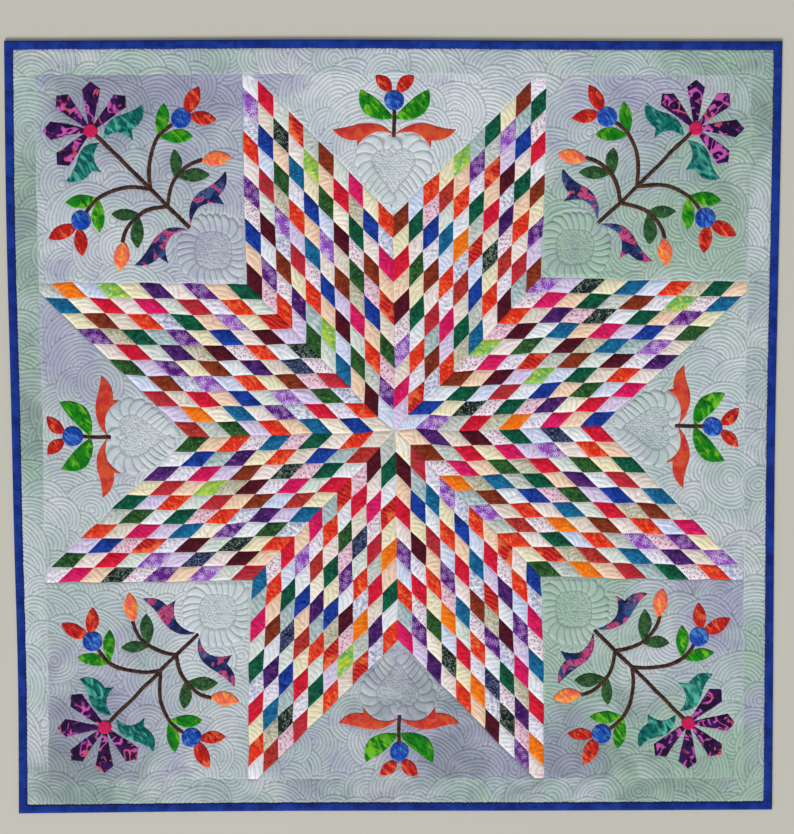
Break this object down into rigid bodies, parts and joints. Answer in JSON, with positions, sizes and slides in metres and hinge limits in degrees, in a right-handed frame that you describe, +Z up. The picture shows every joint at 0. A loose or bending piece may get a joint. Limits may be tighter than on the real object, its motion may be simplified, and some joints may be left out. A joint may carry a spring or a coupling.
{
  "type": "star quilt",
  "caption": "Square patchwork quilt lying flat, with a star of small diamonds, sewn-on flower sprays in the corners and sides, narrow borders and a folded binding.",
  "frame": {"origin": "middle of the quilt's outline, on the surface that it lies on", "axes": "+X to the right and +Y to the top of the front as the picture shows it, +Z up out of the front"},
  "size_m": [1.302, 1.3126, 0.0065],
  "materials": {
    "star_patchwork": "matt printed cotton, many fabrics",
    "ground_cloth": "matt hand-dyed cotton",
    "border_cloth": "matt hand-dyed cotton",
    "binding_cloth": "matt cotton, folded double",
    "stem_and_leaf_cloth": "matt batik cotton",
    "flower_cloth": "matt printed cotton",
    "berry_cloth": "matt batik cotton",
    "flower_leaf_cloth": "matt batik cotton",
    "root_leaf_cloth": "matt printed cotton",
    "side_spray_cloth": "matt batik cotton"
  },
  "bodies": {
    "root": {"star_arm_1": "star_patchwork", "star_arm_2": "star_patchwork", "star_arm_3": "star_patchwork", "star_arm_4": "star_patchwork", "star_arm_5": "star_patchwork", "star_arm_6": "star_patchwork", "star_arm_7": "star_patchwork", "star_arm_8": "star_patchwork", "corner_panel_1": "ground_cloth", "corner_panel_2": "ground_cloth", "corner_panel_3": "ground_cloth", "corner_panel_4": "ground_cloth", "side_panel_1": "ground_cloth", "side_panel_2": "ground_cloth", "side_panel_3": "ground_cloth", "side_panel_4": "ground_cloth", "border_top": "border_cloth", "border_bottom": "border_cloth", "border_right": "border_cloth", "border_left": "border_cloth", "binding_right": "binding_cloth", "binding_top": "binding_cloth", "binding_left": "binding_cloth", "binding_bottom": "binding_cloth", "stem_top_right": "stem_and_leaf_cloth", "flower_top_right": "flower_cloth", "berry_top_right_a": "berry_cloth", "flower_leaf_top_right_a": "flower_leaf_cloth", "root_leaf_top_right_a": "root_leaf_cloth", "berry_top_right_b": "berry_cloth", "flower_leaf_top_right_b": "flower_leaf_cloth", "root_leaf_top_right_b": "root_leaf_cloth", "stem_top_left": "stem_and_leaf_cloth", "flower_top_left": "flower_cloth", "berry_top_left_a": "berry_cloth", "flower_leaf_top_left_a": "flower_leaf_cloth", "root_leaf_top_left_a": "root_leaf_cloth", "berry_top_left_b": "berry_cloth", "flower_leaf_top_left_b": "flower_leaf_cloth", "root_leaf_top_left_b": "root_leaf_cloth", "stem_bottom_left": "stem_and_leaf_cloth", "flower_bottom_left": "flower_cloth", "berry_bottom_left_a": "berry_cloth", "flower_leaf_bottom_left_a": "flower_leaf_cloth", "root_leaf_bottom_left_a": "root_leaf_cloth", "berry_bottom_left_b": "berry_cloth", "flower_leaf_bottom_left_b": "flower_leaf_cloth", "root_leaf_bottom_left_b": "root_leaf_cloth", "stem_bottom_right": "stem_and_leaf_cloth", "flower_bottom_right": "flower_cloth", "berry_bottom_right_a": "berry_cloth", "flower_leaf_bottom_right_a": "flower_leaf_cloth", "root_leaf_bottom_right_a": "root_leaf_cloth", "berry_bottom_right_b": "berry_cloth", "flower_leaf_bottom_right_b": "flower_leaf_cloth", "root_leaf_bottom_right_b": "root_leaf_cloth", "side_spray_right": "side_spray_cloth", "side_spray_top": "side_spray_cloth", "side_spray_left": "side_spray_cloth", "side_spray_bottom": "side_spray_cloth"}
  },
  "joints": []
}
